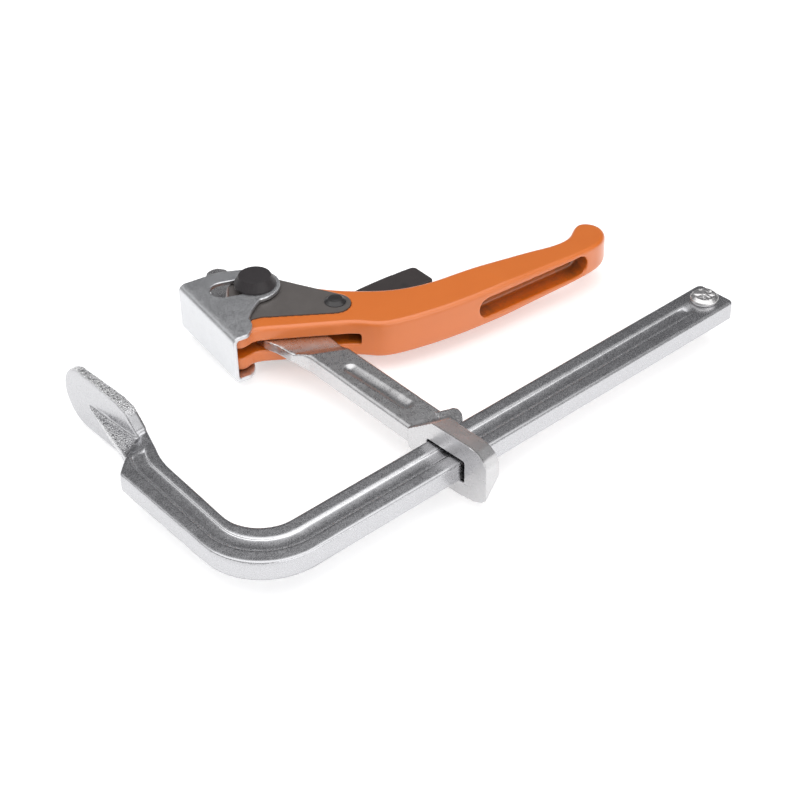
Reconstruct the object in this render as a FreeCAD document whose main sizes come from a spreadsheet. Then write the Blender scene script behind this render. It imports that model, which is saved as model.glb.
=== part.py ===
import FreeCAD, Part
import math
import os
from FreeCAD import Placement, Rotation, Vector

# A steel lever clamp with a ratchet, lying on its side.
# The origin is the middle of the fixed jaw's clamping face. +X runs along the rail from the
# fixed jaw to the free end, +Y from the rail to the lever's pivot, and +Z is up.
# Most pieces are drawn about the lever's pivot, which is their own origin.

SIZES = {
    # Rail: one bar, bent into the fixed arm, with the fixed jaw forged on its end
    "rail_width": 20.0,
    "rail_thick": 9.0,
    "rail_edge_round": 0.9,
    "throat_depth": 115.0,
    "rail_free_end": 245.0,
    "rail_end_chamfer": 1.6,
    "bend_inner_radius": 17.9,
    "bend_inner_x": 6.8,
    "bend_outer_radius": 29.6,
    "bend_outer_x": 1.8,
    "bend_groove_radius": 23.5,
    "bend_groove_x": 4.6,
    "arm_inner_deg": 4.6,
    "arm_outer_deg": 2.6,
    "arm_groove_deg": 4.0,
    "groove_width": 7.2,
    "groove_depth": 0.9,
    "groove_end_gap": 1.5,
    # Fixed jaw
    "jaw_half_width": 14.3,
    "jaw_tip_y": 23.8,
    "jaw_root_y": -25.0,
    "jaw_neck_y": -31.0,
    "jaw_neck_half": 5.6,
    "jaw_thick_root": 5.6,
    "jaw_thick_tip": 3.6,
    "jaw_rim_round": 1.1,
    "rib_base_depth": 16.6,
    "rib_base_half": 4.2,
    "rib_crest_half": 2.4,
    "rib_apex_y": 4.0,
    # Stop rivet at the rail's free end
    "stop_from_end": 8.8,
    "stop_shank_dia": 6.0,
    "stop_head_dia": 12.6,
    "stop_head_height": 3.0,
    # Sliding arm
    "collar_x": 77.5,
    "collar_length": 12.3,
    "collar_half_height": 14.6,
    "collar_low_height": 12.8,
    "collar_nose": 14.2,
    "collar_draft": 4.9,
    "lobe_half_height": 9.2,
    "window_side_gap": 1.3,
    "window_top_gap": 0.7,
    "slide_arm_width": 17.8,
    "slide_arm_lean_deg": 2.3,
    "slide_arm_chamfer": 1.0,
    "pivot_from_collar": 16.5,
    "pivot_height": 150.0,
    "head_thick": 4.7,
    "head_start": 45.0,
    "head_slope_run": 5.5,
    "head_slope_deg": -119.0,
    "tail_length": 35.5,
    "trough_depth": 0.9,
    "trough_radius": 5.5,
    "trough_start": -111.0,
    "trough_end": -65.5,
    # Ratchet teeth on the arm's head
    "ratchet_radius": 18.0,
    "tooth_depth": 1.0,
    "tooth_pitch_deg": 4.5,
    "tooth_first_deg": -59.5,
    "tooth_count": 7,
    # Handle
    "handle_thick": 18.0,
    "handle_tip_thick": 13.0,
    "handle_taper_start": 85.0,
    "handle_taper_end": 152.0,
    "handle_edge_round": 1.8,
    "slot_height": 5.0,
    "eye_radius": 13.4,
    "grip_pocket_height": 9.8,
    "grip_pocket_start": 69.5,
    "grip_pocket_end": 133.2,
    "grip_pocket_depth": 9.0,
    "grip_face_deg": -5.3,
    # Steel cheek plates let into the handle
    "plate_recess": 1.5,
    "plate_proud": 0.25,
    "plate_gap": 0.12,
    "plate_eye_radius": 12.0,
    "plate_end_radius": 7.6,
    # Pressure shoe
    "shoe_sheet": 2.0,
    "shoe_bend_inner": 1.2,
    "shoe_face_depth": 29.4,
    "shoe_low_y": -33.7,
    "shoe_high_y": 18.0,
    "shoe_eye_radius": 13.0,
    "shoe_yaw_deg": -10.1,
    "shoe_side_gap": 0.7,
    "shoe_slot_travel": 14.5,
    "shoe_slot_deg": 166.0,
    # Rivets and fits
    "pivot_dia": 12.0,
    "pivot_head_dia": 19.0,
    "pivot_head_flat": 14.6,
    "pivot_head_height": 4.5,
    "pawl_rivet_x": 18.8,
    "pawl_rivet_y": -32.8,
    "pawl_rivet_dia": 6.0,
    "pawl_rivet_head_dia": 9.8,
    "pawl_rivet_head_flat": 6.4,
    "pawl_rivet_head_height": 1.6,
    "running_gap": 0.08,
    "seat_gap": 0.05,
    # Pawl, trigger and spring
    "pawl_thick": 4.2,
    "pawl_tooth_deg": -46.0,
    "pawl_tooth_clear": 0.45,
    "pawl_boss_radius": 6.4,
    "trigger_thick": 12.0,
    "trigger_pin_dia": 3.0,
    "spring_wire": 0.7,
    "spring_dia": 3.9,
    "spring_turns": 6.0,
}

doc = FreeCAD.newDocument("lever_clamp")
sheet = doc.addObject("Spreadsheet::Sheet", "Sizes")
for row, (alias, value) in enumerate(SIZES.items(), start=1):
    sheet.set(f"A{row}", alias)
    sheet.set(f"B{row}", str(value))
    sheet.setAlias(f"B{row}", alias)
doc.recompute()


def size(alias):
    """The sheet's value of a named size."""
    return float(sheet.get(alias))


def bind(item, **fields):
    """Ties an object's properties to expressions on the sheet."""
    for field, expression in fields.items():
        item.setExpression(field, expression)


def polar(radius, degrees):
    """The point at a radius and angle about the origin."""
    turn = math.radians(degrees)
    return (radius * math.cos(turn), radius * math.sin(turn))


def new_body(label, placement=None):
    """A PartDesign body with the label that names its file."""
    body = doc.addObject("PartDesign::Body", label + "_body")
    body.Label = label
    if placement is not None:
        body.Placement = placement
    return body


def plane_of(body, role):
    """One of the body's own origin planes."""
    return next(f for f in body.Origin.OriginFeatures if f.Role == role)


def new_sketch(body, name, role="XY_Plane", offset=(0, 0, 0), turn=None):
    """A sketch on an origin plane of the body, moved or turned in its own frame."""
    sketch = body.newObject("Sketcher::SketchObject", name)
    sketch.AttachmentSupport = [(plane_of(body, role), "")]
    sketch.MapMode = "FlatFace"
    rotation = turn if turn is not None else Rotation()
    sketch.AttachmentOffset = Placement(Vector(*offset), rotation)
    return sketch


def draw(sketch, start, *steps):
    """Draws a closed outline. A step is a point for a line, a pair of points for an arc through
    the first to the second, or a list for a smooth curve: the direction it leaves in, the points
    that it passes, and the direction it arrives in."""
    here = Vector(start[0], start[1], 0)
    for step in steps:
        if isinstance(step, list):
            leave, *passed, arrive = [Vector(x, y, 0) for x, y in step]
            points = [here] + passed
            curve = Part.BSplineCurve()
            curve.interpolate(points)
            first, last = curve.FirstParameter, curve.LastParameter
            leave = leave.normalize() * curve.getD1(first)[1].Length
            arrive = arrive.normalize() * curve.getD1(last)[1].Length
            curve.interpolate(Points=points, InitialTangent=leave, FinalTangent=arrive, Scale=False)
            sketch.addGeometry(curve, False)
            here = passed[-1]
        elif isinstance(step[0], tuple):
            middle = Vector(step[0][0], step[0][1], 0)
            end = Vector(step[1][0], step[1][1], 0)
            sketch.addGeometry(Part.Arc(here, middle, end), False)
            here = end
        else:
            end = Vector(step[0], step[1], 0)
            sketch.addGeometry(Part.LineSegment(here, end), False)
            here = end
    first = Vector(start[0], start[1], 0)
    if here.distanceToPoint(first) > 1e-6:
        sketch.addGeometry(Part.LineSegment(here, first), False)


def circle(sketch, centre, radius):
    """Draws a circle."""
    middle = Vector(centre[0], centre[1], 0)
    sketch.addGeometry(Part.Circle(middle, Vector(0, 0, 1), radius), False)


def pad(body, name, sketch, length, both_ways=True, reverse=False):
    """Pads a sketch by an expression on the sheet."""
    item = body.newObject("PartDesign::Pad", name)
    item.Profile = sketch
    item.Midplane = both_ways
    item.Reversed = reverse
    bind(item, Length=length)
    return item


def pocket(body, name, sketch, length, both_ways=True, reverse=False):
    """Cuts a sketch away by an expression on the sheet."""
    item = body.newObject("PartDesign::Pocket", name)
    item.Profile = sketch
    item.Midplane = both_ways
    item.Reversed = reverse
    bind(item, Length=length)
    return item


def mirror_down(body, name, *features):
    """Repeats features on the other side of the body's middle plane."""
    item = body.newObject("PartDesign::Mirrored", name)
    item.Originals = list(features)
    item.MirrorPlane = (plane_of(body, "XY_Plane"), [""])
    body.Tip = item
    return item


def edge_names(feature, keep):
    """The names of the feature's edges that a test keeps."""
    return [f"Edge{i}" for i, edge in enumerate(feature.Shape.Edges, start=1) if keep(edge)]


def flat_at(edge, height, slack=0.01):
    """True for an edge that lies wholly at a height above or below the middle plane."""
    box = edge.BoundBox
    return abs(abs(box.ZMax) - height) < slack and abs(box.ZMax - box.ZMin) < slack


pivot_x = size("collar_x") + size("pivot_from_collar")
pivot_y = -size("throat_depth") - size("rail_width") + size("pivot_height")
rail_mid_y = -size("throat_depth") - size("rail_width") / 2
at_pivot = Placement(Vector(pivot_x, pivot_y, 0), Rotation())
pawl_at = (size("pawl_rivet_x"), size("pawl_rivet_y"))
at_pawl = Placement(Vector(pivot_x + pawl_at[0], pivot_y + pawl_at[1], 0), Rotation())


def rail_bar():
    """The rail, its bend, the fixed arm and the fixed jaw, one piece."""
    body = new_body("rail_bar")
    width = size("rail_width")
    half = size("rail_thick") / 2
    neck_y, root_y, tip_y = size("jaw_neck_y"), size("jaw_root_y"), size("jaw_tip_y")
    wide, neck = size("jaw_half_width"), size("jaw_neck_half")
    # Fixed jaw: a flat tongue with a round end, thinner at its tip
    face = new_sketch(body, "JawOutline", "YZ_Plane")
    round_y = tip_y - wide
    low_side = [(neck_y, -neck), (root_y + 1, -wide + 1.8), (root_y + 8, -wide + 0.4)]
    draw(face, *low_side, (round_y, -wide), ((tip_y, 0), (round_y, wide)),
         *[(y, -z) for y, z in reversed(low_side)])
    pad(body, "JawTongue", face, "Sizes.jaw_thick_root", False, True)
    back = new_sketch(body, "JawBackSlope")
    root, tip = size("jaw_thick_root"), size("jaw_thick_tip")
    draw(back, (-root, root_y), (-tip, tip_y + 1), (-root - 1, tip_y + 1), (-root - 1, root_y))
    tongue = pocket(body, "JawBackCut", back, "4 * Sizes.jaw_half_width")
    doc.recompute()
    rim = body.newObject("PartDesign::Fillet", "JawRim")
    rim.Base = (tongue, edge_names(tongue, lambda e: e.BoundBox.XMax < -tip + 0.3 and e.BoundBox.YMax > root_y - 4
                                   and e.BoundBox.ZMax - e.BoundBox.ZMin < 2 * wide + 1 and not (
                                       e.BoundBox.YMax - e.BoundBox.YMin < 0.01)))
    bind(rim, Radius="Sizes.jaw_rim_round")
    doc.recompute()
    # Bar: rail, bend and fixed arm in one outline
    top_y = -size("throat_depth")
    low_y = top_y - width

    def bend(which, base_y, y):
        """An arc of the bend: its start on the rail, its middle and end, and the point at a height
        y on the straight line that leaves it up the arm."""
        radius, centre_x = size(f"bend_{which}_radius"), size(f"bend_{which}_x")
        lean = size(f"arm_{which}_deg")
        centre_y = base_y + radius
        middle, end = polar(radius, (450 - lean) / 2), polar(radius, 180 - lean)
        end = (centre_x + end[0], centre_y + end[1])
        up = (end[0] + (y - end[1]) * math.tan(math.radians(lean)), y)
        return (centre_x, base_y), (centre_x + middle[0], centre_y + middle[1]), end, up

    shoulder_y = neck_y - 16
    out_start, out_mid, out_end, shoulder = bend("outer", low_y, shoulder_y)
    in_start, in_mid, in_end, in_top = bend("inner", top_y, neck_y - 25)
    free, cut = size("rail_free_end"), size("rail_end_chamfer")
    bar = new_sketch(body, "BarOutline")
    draw(bar, out_start, (out_mid, out_end), shoulder,
         (shoulder[0] + 7, shoulder_y + 6.5), (-9.5, neck_y - 4.5),
         (-root + 1, neck_y - 1.5), (-root + 1, neck_y + 2), (0, neck_y + 2), (0, neck_y),
         (in_top[0] + 3.2, neck_y - 13), ((in_top[0] + 1.3, neck_y - 18.5), in_top), in_end,
         (in_mid, in_start),
         (free - cut, top_y), (free, top_y - cut), (free, low_y + cut), (free - cut, low_y))
    bar_pad = pad(body, "Bar", bar, "Sizes.rail_thick")
    # Forged rib on the jaw's back, from the arm's end to a point
    deep, base = size("rib_base_depth"), size("rib_base_half")
    crest, apex_y = size("rib_crest_half"), size("rib_apex_y")
    base_y = shoulder_y + 6
    start = new_sketch(body, "RibBase", "XZ_Plane", (0, 0, -base_y))
    draw(start, (-deep, -crest), (-tip, -base), (-tip, base), (-deep, crest))
    end = new_sketch(body, "RibApex", "XZ_Plane", (0, 0, -apex_y))
    draw(end, (-root + 0.4, -0.5), (-tip, -0.9), (-tip, 0.9), (-root + 0.4, 0.5))
    rib = body.newObject("PartDesign::AdditiveLoft", "JawRib")
    rib.Profile = start
    rib.Sections = [end]
    rib.Ruled = True
    doc.recompute()
    # Rounded long edges
    soft = body.newObject("PartDesign::Fillet", "SoftEdges")
    soft.Base = (rib, edge_names(rib, lambda e: flat_at(e, half) and (e.Length > 20 or e.BoundBox.XMin > free - 2)))
    bind(soft, Radius="Sizes.rail_edge_round")
    doc.recompute()
    # Hole for the stop rivet
    hole = new_sketch(body, "StopHole")
    circle(hole, (free - size("stop_from_end"), rail_mid_y), size("stop_shank_dia") / 2)
    pocket(body, "StopHoleCut", hole, "2 * Sizes.rail_thick")
    # Shallow round groove along the middle of both flats
    depth, across = size("groove_depth"), size("groove_width")
    tool = (across ** 2 / 4 + depth ** 2) / (2 * depth)
    height = half + tool - depth
    begin_x = free - size("stop_from_end") - size("stop_head_dia") / 2 - size("groove_end_gap")
    path = new_sketch(body, "GroovePath", "XY_Plane", (0, 0, height))
    bend_start, bend_mid, bend_end, turn_off = [Vector(*point, 0) for point in bend("groove", rail_mid_y, neck_y - 21)]
    path.addGeometry(Part.LineSegment(Vector(begin_x, rail_mid_y, 0), bend_start), False)
    path.addGeometry(Part.Arc(bend_start, bend_mid, bend_end), False)
    path.addGeometry(Part.LineSegment(bend_end, turn_off), False)
    # Its last stretch turns towards the jaw: an arc that leaves along the line
    lean, turn, swing = math.radians(size("arm_groove_deg")), math.radians(21), 23.0
    centre = turn_off + Vector(swing * math.cos(lean), -swing * math.sin(lean), 0)
    points = [centre + Vector(-swing * math.cos(lean + a), swing * math.sin(lean + a), 0) for a in (turn, 2 * turn)]
    path.addGeometry(Part.Arc(turn_off, *points), False)
    ring = new_sketch(body, "GrooveTool", "YZ_Plane", (0, 0, begin_x))
    circle(ring, (rail_mid_y, height), tool)
    groove = body.newObject("PartDesign::SubtractivePipe", "Groove")
    groove.Profile = ring
    groove.Spine = (path, ["Edge1", "Edge2", "Edge3", "Edge4"])
    doc.recompute()
    mirror_down(body, "GrooveBelow", groove)
    return body


def rivet(label, placement, shank_dia, half_grip, head_dia, flat_dia, height, dome):
    """A solid rivet with the same head at both ends: a cone with a flat or slightly domed top."""
    body = new_body(label, placement)
    outline = new_sketch(body, label + "_outline", "XZ_Plane")
    shank, rim, flat = size(shank_dia) / 2, size(head_dia) / 2, size(flat_dia) / 2
    top = half_grip + size(height)
    lip = size(height) * 0.18
    crown = top + dome
    near = flat * 0.5
    draw(outline, (0, -crown), (near, -crown), (flat, -top), (rim, -half_grip - lip),
         (rim, -half_grip), (shank, -half_grip), (shank, half_grip), (rim, half_grip),
         (rim, half_grip + lip), (flat, top), (near, crown), (0, crown))
    turned = body.newObject("PartDesign::Revolution", label + "_turned")
    turned.Profile = outline
    turned.ReferenceAxis = (outline, ["V_Axis"])
    turned.Angle = 360
    return body


def sliding_arm():
    """The sliding arm: collar, bar, flat head with ratchet teeth and tail, one forging."""
    body = new_body("sliding_arm", at_pivot)
    half = size("rail_thick") / 2
    left = -size("pivot_from_collar")
    front = -size("pivot_height")
    wide, lean = size("slide_arm_width"), math.tan(math.radians(size("slide_arm_lean_deg")))
    teeth = size("ratchet_radius")
    first, count, pitch = size("tooth_first_deg"), int(size("tooth_count")), size("tooth_pitch_deg")
    last = first + count * pitch
    tail = size("tail_length")

    def on_left(y):
        return (left + 0.6 + (y - front - 30) * lean * 1.15, y)

    def on_right(y):
        return (left + 0.6 + wide + (y - front - 30) * lean, y)

    start_y = front + size("rail_width") - 2
    tooth_a, tooth_m, tooth_b = polar(teeth, first - 3), polar(teeth, (first + last) / 2), polar(teeth, last)
    bar = new_sketch(body, "ArmOutline")
    draw(bar, on_left(start_y), on_left(-52), ((left + 2.9, -47.2), (left + 1.3, -42.8)), (left + 0.9, -34),
         (left - 0.9, -26), (left + 0.3, -12), ((-16.6, 0), (-14.4, 12)), (-11.2, 19), (-6.2, tail - 8), (-3.4, tail - 2.6), (-1.4, tail - 0.6),
         (1.6, tail), (4.6, tail - 0.8), (6.7, tail - 4), (6.7, 13), ((12.3, 5.5), (12.6, -4)),
         tooth_b, (tooth_m, tooth_a), (5.8, -30), (5.6, -45), on_right(-53), on_right(start_y))
    blank = pad(body, "ArmBar", bar, "Sizes.rail_thick")
    doc.recompute()
    # Chamfered long edges of the bar
    bevel = body.newObject("PartDesign::Chamfer", "ArmBevel")
    bevel.Base = (blank, edge_names(blank, lambda e: flat_at(e, half) and e.BoundBox.YMax < -28))
    bind(bevel, Size="Sizes.slide_arm_chamfer")
    doc.recompute()
    # Flattened head: the forging steps down along a slope beside the handle's mouth
    thin = new_sketch(body, "HeadStep", "XZ_Plane", (0, 0, 0),
                      Rotation(Vector(0, 1, 0), size("head_slope_deg")))
    flat, begin, run = size("head_thick") / 2, size("head_start"), size("head_slope_run")
    draw(thin, (-60, flat), (begin, flat), (begin + run, half + 0.2), (begin + run, half + 2), (-60, half + 2))
    step = pocket(body, "HeadStepCut", thin, "8 * Sizes.slide_arm_width")
    doc.recompute()
    mirror_down(body, "HeadStepBelow", step)
    doc.recompute()
    # Collar: a drafted block that the rail runs through, with a ramp up to it from the bar
    tall, nose, draft = size("collar_half_height"), size("collar_nose"), size("collar_draft")
    length, deep = size("collar_length"), size("collar_low_height")

    def collar_section(name, x, shrink):
        sketch = new_sketch(body, name, "YZ_Plane", (0, 0, x))
        top, low, out = tall - shrink, deep - shrink * 0.7, front - nose + shrink * 1.06
        ramp, crest = front + 31.5 - shrink, front + 17.5 + shrink * 0.5
        draw(sketch, (ramp, -half), (ramp, half), (crest, top), (out + 11, top), (out + 5.6, top - 0.6),
             (out + 1.9, top - 2.9), (out, top - 6.2), (out, -low + 6), (out + 2.4, -low + 3.2),
             (out + 7.4, -low + 1.2), (out + 16, -low), (crest, -low))
        return sketch

    collar = body.newObject("PartDesign::AdditiveLoft", "Collar")
    collar.Profile = collar_section("CollarJawSide", left, 0)
    collar.Sections = [collar_section("CollarFarSide", left + length, draft)]
    collar.Ruled = True
    doc.recompute()
    # Lobes beside the bar, above and below
    lobe = new_sketch(body, "LobeOutline")
    draw(lobe, (left + 8, front + 15), (left + 11.6, front + 14.4), (left + 15, front + 15.9),
         ((left + 18.4, front + 18.6), (left + 19.6, front + 22)), ((left + 19.2, front + 24), (left + 17.3, front + 24.9)),
         (left + 11, front + 27.5))
    lobe_pad = body.newObject("PartDesign::Pad", "Lobes")
    lobe_pad.Profile = lobe
    lobe_pad.Midplane = True
    bind(lobe_pad, Length="2 * Sizes.lobe_half_height")
    doc.recompute()
    # Window for the rail
    window = new_sketch(body, "Window", "YZ_Plane", (0, 0, left))
    side, above = size("window_side_gap"), half + size("window_top_gap")
    high = front + size("rail_width") + 0.4
    draw(window, (front - side, -above), (high, -above), (high, above), (front - side, above))
    pocket(body, "WindowCut", window, "4 * Sizes.collar_length")
    # Pivot hole
    hole = new_sketch(body, "PivotHole")
    circle(hole, (0, 0), size("pivot_dia") / 2 + size("running_gap"))
    pocket(body, "PivotHoleCut", hole, "2 * Sizes.rail_thick")
    # Ratchet teeth: one saw-tooth gap, repeated round the pivot
    bite = size("tooth_depth")
    gap = new_sketch(body, "ToothGap")
    stop = first + pitch
    draw(gap, polar(teeth + 1, stop), polar(teeth - bite, stop), polar(teeth + 1, stop - pitch * 1.3))
    cut = pocket(body, "ToothGapCut", gap, "2 * Sizes.rail_thick")
    around = body.newObject("PartDesign::PolarPattern", "Teeth")
    around.Originals = [cut]
    around.Axis = (gap, ["N_Axis"])
    around.Angle = (count - 1) * pitch
    around.Occurrences = count
    body.Tip = around
    doc.recompute()
    # Shallow trough with faded ends along the bar, above and below
    tool, sink = size("trough_radius"), size("trough_depth")
    low, high = size("trough_start"), size("trough_end")
    mid_x = (on_left((low + high) / 2)[0] + on_right((low + high) / 2)[0]) / 2
    trough = new_sketch(body, "Trough", "YZ_Plane", (0, half + tool - sink, mid_x))
    draw(trough, (low, 0), ((low + 1.6, -tool * 0.72), (low + 6, -tool)), (high - 6, -tool), ((high - 1.6, -tool * 0.72), (high, 0)))
    turned = body.newObject("PartDesign::Groove", "TroughCut")
    turned.Profile = trough
    turned.ReferenceAxis = (trough, ["H_Axis"])
    turned.Angle = 360
    doc.recompute()
    mirror_down(body, "TroughBelow", turned)
    return body


def handle_outline(sketch):
    """The handle's outline: nose, mouth edge, grip, tip, back and the eye round the pivot."""
    eye = size("eye_radius")
    face = size("shoe_face_depth")
    nose_back = (-face + 0.8, -15.6)
    reach = math.hypot(*nose_back)
    bearing = 360 + math.degrees(math.atan2(nose_back[1], nose_back[0]))
    leave_eye = bearing - math.degrees(math.acos(eye / reach))
    touch = polar(eye, leave_eye)
    to_nose = (nose_back[0] - touch[0], nose_back[1] - touch[1])
    mouth_start, mouth_end = (-12.3, -31.1), (6.3, -44.6)
    mouth = (mouth_end[0] - mouth_start[0], mouth_end[1] - mouth_start[1])
    draw(sketch, nose_back,
         [to_nose, (-face - 1.8, -20.6), (-face - 0.8, -24.2), (-face + 2.6, -25.7), (-22.6, -25.2), (-17.6, -27.2),
          mouth_start, mouth],
         mouth_end,
         [mouth, (14.8, -51.3), (21.5, -59.2), (32, -64.6), (48.4, -69.2), (67.2, -72.6), (88.7, -75), (109.5, -76.9),
          (131.9, -78.6), (144.8, -76.8), (151.4, -71), (152.4, -63.4), (147.8, -58.8), (141.6, -60.4), (135, -63.8),
          (126.4, -64.4), (113.8, -61.4), (94.4, -56.6), (75.8, -52.3), (61.6, -49.5), (51.7, -46.1), (41.3, -40),
          (31.8, -31.4), (23.9, -22.3), (17.4, -11.9), (eye, 0), (0, 1)],
         (polar(eye, leave_eye / 2), touch))


def plate_outline(sketch, grow):
    """The cheek plate's outline, or its recess when grown by the fit's gap."""
    eye, end = size("plate_eye_radius") + grow, size("plate_end_radius") + grow
    end_x, end_y = pawl_at[0] - 1.4, pawl_at[1] - 0.5
    low, side = polar(end, -128), polar(end, 22)
    draw(sketch, (end_x + low[0], end_y + low[1]),
         ((end_x + polar(end, -45)[0], end_y + polar(end, -45)[1]), (end_x + side[0], end_y + side[1])),
         (16.2 + grow, -11.5), polar(eye, -7), (polar(eye, 65), polar(eye, 132)), (-26.2 - grow, -14.6),
         ((-28 - grow, -16.6), (-26.4 - grow, -18.3 - grow)), (-16.5, -18.3 - grow),
         (-12.6, -19.6 - grow))


def lever_handle():
    """The cast handle lever, forked round the arm's head."""
    body = new_body("lever_handle", at_pivot)
    outline = new_sketch(body, "HandleOutline")
    handle_outline(outline)
    pad(body, "HandleBlank", outline, "Sizes.handle_thick")
    # The grip thins towards its tip
    half, tip_half = size("handle_thick") / 2, size("handle_tip_thick") / 2
    begin, end = size("handle_taper_start"), size("handle_taper_end")
    taper = new_sketch(body, "GripTaper", "XZ_Plane", (0, 0, 70))
    draw(taper, (begin, half), (end, tip_half), (end + 5, tip_half), (end + 5, half + 1), (begin, half + 1))
    cut = pocket(body, "GripTaperCut", taper, "6 * Sizes.handle_thick")
    doc.recompute()
    tapered = mirror_down(body, "GripTaperBelow", cut)
    doc.recompute()
    crease = size("handle_taper_start")
    long_edges = edge_names(tapered, lambda e: abs(e.CenterOfMass.z) > tip_half - 0.1 and abs(e.CenterOfMass.x - crease) > 1)
    soft = body.newObject("PartDesign::Fillet", "HandleSoftEdges")
    soft.Base = (tapered, long_edges)
    bind(soft, Radius="Sizes.handle_edge_round")
    doc.recompute()
    # Slot for the arm's head, the pawl and its tail, open in front, round the pivot and behind
    slot = new_sketch(body, "Slot")
    draw(slot, (-45, 30), (-45, -60), (14.5, -60), (14.5, -53), (27, -50.5), (44, -56.5), (62, -59.5), (66.5, -54),
         (66.5, -30), (30, 30))
    pocket(body, "SlotCut", slot, "Sizes.slot_height")
    # Recesses for the cheek plates
    recess = new_sketch(body, "PlateRecess", "XY_Plane", (0, 0, half))
    plate_outline(recess, size("plate_gap"))
    seat = pocket(body, "PlateRecessCut", recess, "Sizes.plate_recess", False)
    doc.recompute()
    mirror_down(body, "PlateRecessBelow", seat)
    # Rivet holes
    holes = new_sketch(body, "RivetHoles")
    circle(holes, (0, 0), size("pivot_dia") / 2 + size("running_gap"))
    circle(holes, pawl_at, size("pawl_rivet_dia") / 2)
    pocket(body, "RivetHolesCut", holes, "2 * Sizes.handle_thick")
    # Long round-ended pocket in the grip's front
    tall, deep = size("grip_pocket_height") / 2, size("grip_pocket_depth")
    begin, end = size("grip_pocket_start") + tall, size("grip_pocket_end") - tall
    grip = new_sketch(body, "GripPocket", "XZ_Plane", (0, 0, 66.4),
                      Rotation(Vector(0, 1, 0), size("grip_face_deg")))
    draw(grip, (begin, -tall), (end, -tall), ((end + tall, 0), (end, tall)), (begin, tall), ((begin - tall, 0), (begin, -tall)))
    pocket(body, "GripPocketCut", grip, "2 * Sizes.grip_pocket_depth")
    return body


def cheek_plate(label, side):
    """A steel cheek plate that stands a little proud of the handle's recess."""
    body = new_body(label, at_pivot)
    half, proud = size("handle_thick") / 2, size("plate_proud")
    base = half - size("plate_recess") if side > 0 else -half - proud
    outline = new_sketch(body, label + "_outline", "XY_Plane", (0, 0, base))
    plate_outline(outline, 0)
    circle(outline, (0, 0), size("pivot_dia") / 2 + size("running_gap"))
    circle(outline, pawl_at, size("pawl_rivet_dia") / 2)
    pad(body, label + "_blank", outline, "Sizes.plate_recess + Sizes.plate_proud", False)
    return body


def pressure_shoe():
    """The folded sheet shoe: a front plate and two slotted flanges."""
    turn = Rotation(Vector(0, 0, 1), size("shoe_yaw_deg"))
    body = new_body("pressure_shoe", Placement(Vector(pivot_x, pivot_y, 0), turn))
    sheet_t, bend = size("shoe_sheet"), size("shoe_bend_inner")
    inner = size("handle_thick") / 2 + size("shoe_side_gap")
    outer = inner + sheet_t
    face_x = -size("shoe_face_depth")
    low, high = size("shoe_low_y"), size("shoe_high_y")
    eye = size("shoe_eye_radius")
    reach = eye + 2
    big = bend + sheet_t
    curve = math.sqrt(0.5)
    # Folded section, drawn across the plate and drawn out along it
    fold = new_sketch(body, "FoldSection", "XZ_Plane", (0, 0, -(low + high) / 2))
    draw(fold, (reach, outer), (face_x + big, outer),
         ((face_x + big * (1 - curve), outer - big * (1 - curve)), (face_x, outer - big)),
         (face_x, -outer + big),
         ((face_x + big * (1 - curve), -outer + big * (1 - curve)), (face_x + big, -outer)),
         (reach, -outer), (reach, -inner), (face_x + big, -inner),
         ((face_x + sheet_t + bend * (1 - curve), -inner + bend * (1 - curve)), (face_x + sheet_t, -inner + bend)),
         (face_x + sheet_t, inner - bend),
         ((face_x + sheet_t + bend * (1 - curve), inner - bend * (1 - curve)), (face_x + big, inner)),
         (reach, inner))
    pad(body, "FoldedSheet", fold, "Sizes.shoe_high_y - Sizes.shoe_low_y")
    # Flange outline: everything outside it is cut away
    trim = new_sketch(body, "FlangeOutline")
    far = 60
    start_x = face_x + big + 4
    mid = (-2, 0.4)
    top, tip, bottom = polar(eye, 68), polar(eye, -10), polar(eye, -100)
    draw(trim, (start_x, high + 5), (start_x, high), (-14.5, high),
         ((-4, high - 2.2), (mid[0] + top[0], mid[1] + top[1])),
         ((mid[0] + tip[0], mid[1] + tip[1]), (mid[0] + bottom[0], mid[1] + bottom[1])),
         ((-10.6, -17.2), (-15.4, -22.6)), ((-17.6, -29.4), (start_x, low)), (start_x, low - 5), (far, low - 5), (far, high + 5))
    pocket(body, "FlangeTrim", trim, "4 * Sizes.handle_thick")
    # Slots that slide on the pivot rivet
    slot = new_sketch(body, "FlangeSlots")
    radius = size("pivot_dia") / 2 + size("running_gap")
    way = size("shoe_slot_deg")
    end = polar(size("shoe_slot_travel"), way)
    side_a, side_b = polar(radius, way - 90), polar(radius, way + 90)
    near, past = polar(radius, way + 180), polar(radius, way)
    draw(slot, side_b, (near, side_a), (end[0] + side_a[0], end[1] + side_a[1]),
         ((end[0] + past[0], end[1] + past[1]), (end[0] + side_b[0], end[1] + side_b[1])))
    pocket(body, "FlangeSlotsCut", slot, "4 * Sizes.handle_thick")
    return body


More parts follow.
